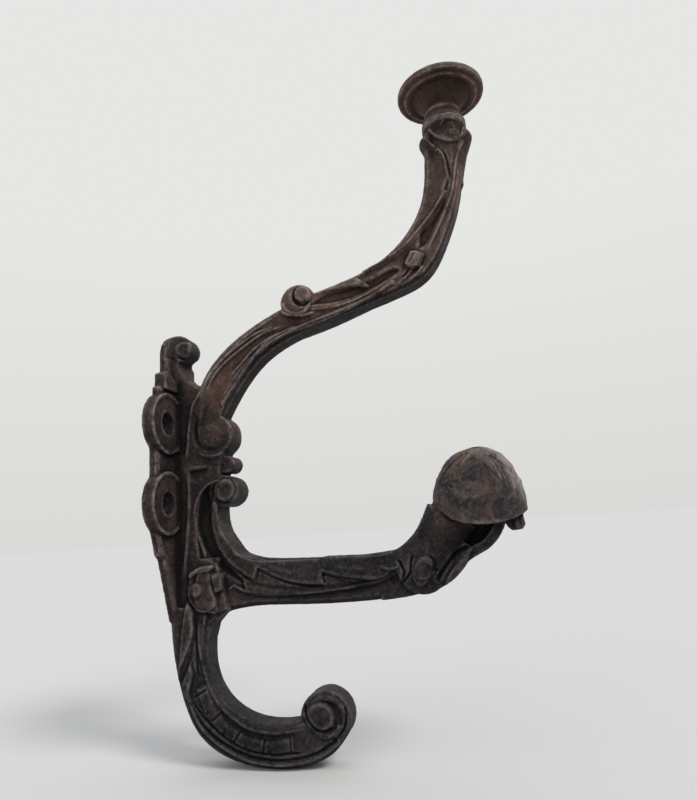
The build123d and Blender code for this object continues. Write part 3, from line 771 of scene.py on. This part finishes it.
class Nodes:
    """A small helper that adds shader nodes and links them by socket name."""

    def __init__(self, owner):
        owner.use_nodes = True
        self.tree = owner.node_tree
        self.tree.nodes.clear()

    def add(self, kind, inputs=None, **settings):
        node = self.tree.nodes.new(kind)
        for key, value in settings.items():
            setattr(node, key, value)
        for key, value in (inputs or {}).items():
            if isinstance(value, bpy.types.NodeSocket):
                self.tree.links.new(value, node.inputs[key])
            else:
                node.inputs[key].default_value = value
        return node

    def noise(self, scale, detail=6.0, rough=0.6, distortion=0.0):
        place = self.add("ShaderNodeTexCoord").outputs["Object"]
        values = {
            "Vector": place, "Scale": scale, "Detail": detail, "Roughness": rough, "Distortion": distortion,
        }
        return self.add("ShaderNodeTexNoise", values).outputs["Fac"]

    def attribute(self, name):
        return self.add("ShaderNodeAttribute", attribute_name=name).outputs["Fac"]

    def ramp(self, value, low, high, to_low=0.0, to_high=1.0):
        inputs = {"Value": value, "From Min": low, "From Max": high, "To Min": to_low, "To Max": to_high}
        return self.add("ShaderNodeMapRange", inputs).outputs["Result"]

    def math(self, operation, a, b):
        return self.add("ShaderNodeMath", {0: a, 1: b}, operation=operation, use_clamp=True).outputs[0]

    def times(self, a, b):
        return self.math("MULTIPLY", a, b)

    def seen(self):
        """1 where a surface is looked at, directly or in metal, and 0 where it only lights something."""
        path = self.add("ShaderNodeLightPath").outputs
        mirrored = self.math("MAXIMUM", path["Is Glossy Ray"], path["Is Transmission Ray"])
        return self.math("MAXIMUM", path["Is Camera Ray"], mirrored)

    def mix(self, factor, a, b):
        node = self.add("ShaderNodeMix", data_type="RGBA")
        for key, value in {"Factor": factor, "A": a, "B": b}.items():
            socket = [s for s in node.inputs if s.name == key and (key == "Factor" or s.type == "RGBA")][0]
            if isinstance(value, bpy.types.NodeSocket):
                self.tree.links.new(value, socket)
            else:
                socket.default_value = value
        return [s for s in node.outputs if s.type == "RGBA"][0]


def iron_material():
    """Old cast iron: black below, browner above, rust in the flutes, pale rubbed metal with painted
    highlights on edges and cap, and painted shade in hollows and on faces that look down.
    """
    material = bpy.data.materials.new("worn_cast_iron")
    n = Nodes(material)
    patches = n.ramp(n.noise(60.0, 8.0, 0.72), 0.36, 0.64)
    colour = n.mix(n.attribute("brown"), n.mix(patches, *BLACK), n.mix(patches, *BROWN))
    blotch = n.ramp(n.noise(70.0, 8.0, 0.72, 1.6), 0.46, 0.62)
    colour = n.mix(n.times(n.attribute("cap"), 0.9), colour, n.mix(blotch, *CAP_GREY))

    grain = n.noise(620.0, 5.0, 0.75)
    colour = n.mix(n.times(n.ramp(grain, 0.51, 0.64), 0.34), colour, PALE_GRAIN)
    colour = n.mix(n.times(n.ramp(grain, 0.48, 0.34), 0.60), colour, DARK_GRAIN)

    rust = n.times(n.attribute("rust"), n.ramp(n.noise(190.0, 8.0, 0.75), 0.40, 0.58))
    colour = n.mix(n.times(rust, 0.8), colour, RUST)
    spots = n.times(n.ramp(n.noise(70.0, 8.0, 0.8), 0.50, 0.62), n.ramp(n.noise(24.0, 3.0, 0.5), 0.45, 0.6))
    colour = n.mix(n.times(spots, 0.45), colour, RUST_SPOT)

    # painted shade on faces that look down
    colour = n.mix(n.times(n.attribute("downward_shade"), 0.85), colour, n.mix(patches, *UNDERSIDE_SHADE))
    # painted shade in hollows, screw holes and beneath the knob, with the lower hook's bowl darker too
    colour = n.mix(n.times(n.attribute("shade_in_hollows"), 0.92), colour, HOLLOW_SHADE)

    # pale edges and rubbed places: wear together with a painted highlight
    wear_and_highlight = n.math("MAXIMUM", n.times(n.attribute("edge"), 0.85), n.attribute("bare_and_highlight"))
    wear_and_highlight = n.times(wear_and_highlight, n.ramp(n.noise(260.0, 6.0, 0.75), 0.36, 0.56))
    colour = n.mix(n.times(wear_and_highlight, 0.85), colour, n.mix(n.attribute("brown"), WORN_AND_HIGHLIGHT_BLACK, WORN_AND_HIGHLIGHT_BROWN))

    rough = n.ramp(n.noise(300.0, 4.0, 0.6), 0.3, 0.7, 0.40, 0.62)
    bump = n.add("ShaderNodeBump", {"Height": n.noise(900.0, 6.0, 0.75), "Strength": 0.9, "Distance": 0.0008})
    look = {"Base Color": colour, "Roughness": rough, "Specular IOR Level": 0.06}
    shader = n.add("ShaderNodeBsdfPrincipled", {**look, "Normal": bump.outputs["Normal"]})
    n.add("ShaderNodeOutputMaterial", {"Surface": shader.outputs["BSDF"]})
    return material


def floor_material():
    """A matt floor that looks paler than the light it throws back on the hook."""
    material = bpy.data.materials.new("pale_floor")
    n = Nodes(material)
    shader = n.add("ShaderNodeBsdfDiffuse", {"Color": n.mix(n.seen(), FLOOR_LIGHT, FLOOR_SEEN)})
    n.add("ShaderNodeOutputMaterial", {"Surface": shader.outputs["BSDF"]})
    return material


# ---------------------------------------------------------------- stage, lights and camera


def make_floor(low):
    bpy.ops.mesh.primitive_plane_add(size=FLOOR_SIZE, location=(0, 0, low.z - FLOOR_GAP))
    floor = bpy.context.object
    floor.name = "floor"
    floor.data.materials.append(floor_material())


def make_world():
    """Soft light that falls mostly from above, and a pale backdrop that brightens upwards."""
    world = bpy.data.worlds.new("studio")
    bpy.context.scene.world = world
    n = Nodes(world)
    direction = n.add("ShaderNodeTexCoord").outputs["Generated"]
    height = n.add("ShaderNodeSeparateXYZ", {"Vector": direction}).outputs["Z"]
    tone = n.mix(n.ramp(height, 0.0, 0.45), BACKDROP_LOW, BACKDROP_HIGH)
    sky = n.mix(n.ramp(height, -0.1, 0.9), SKY_LOW, SKY_HIGH)
    light = n.add("ShaderNodeBackground", {"Color": sky, "Strength": 1.0})
    back = n.add("ShaderNodeBackground", {"Color": tone, "Strength": 1.0})
    mixed = n.add("ShaderNodeMixShader", {0: n.seen(), 1: light.outputs[0], 2: back.outputs[0]})
    n.add("ShaderNodeOutputWorld", {"Surface": mixed.outputs[0]})


def sun(name, place, target, strength, spread, colour):
    """A soft distant lamp; spread is its width in degrees."""
    data = bpy.data.lights.new(name, "SUN")
    data.energy = strength
    data.angle = radians(spread)
    data.color = colour
    lamp = bpy.data.objects.new(name, data)
    bpy.context.scene.collection.objects.link(lamp)
    lamp.location = place
    lamp.rotation_euler = (Vector(target) - Vector(place)).to_track_quat("-Z", "Y").to_euler()


def make_lights(centre):
    sun("key", (-0.45, -0.85, 0.95), centre, 1.5, 18.0, (1.0, 0.97, 0.94))
    sun("fill", (-0.9, 0.6, 0.35), centre, 0.35, 40.0, (0.94, 0.97, 1.0))


def make_camera():
    """The photograph's view: from the hook's left, a little in front of it and below, slightly rolled."""
    turn, rise, roll = radians(CAMERA_TURN), radians(CAMERA_RISE), radians(CAMERA_ROLL)
    back = Vector((-cos(rise) * cos(turn), -cos(rise) * sin(turn), -sin(rise)))
    right = Vector((0, 0, 1)).cross(back).normalized()
    up = back.cross(right)
    tilted_right = right * cos(roll) + up * sin(roll)
    tilted_up = up * cos(roll) - right * sin(roll)
    data = bpy.data.cameras.new("camera")
    data.lens = CAMERA_LENS
    data.clip_start = 0.01
    camera = bpy.data.objects.new("camera", data)
    bpy.context.scene.collection.objects.link(camera)
    camera.matrix_world = Matrix((tilted_right, tilted_up, back)).transposed().to_4x4()
    camera.location = Vector(CAMERA_TARGET) + back * CAMERA_DISTANCE
    bpy.context.scene.camera = camera


def main():
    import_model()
    cad_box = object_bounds()
    low, high = (Vector(v) for v in cad_box)
    make_camera()
    make_world()
    make_floor(low)
    make_lights((low + high) / 2)
    piece = sculpt()
    piece.data.materials.clear()
    piece.data.materials.append(iron_material())
    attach(piece, "root")
    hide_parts(NODE)
    bpy.context.scene.view_settings.view_transform = "Standard"


main()
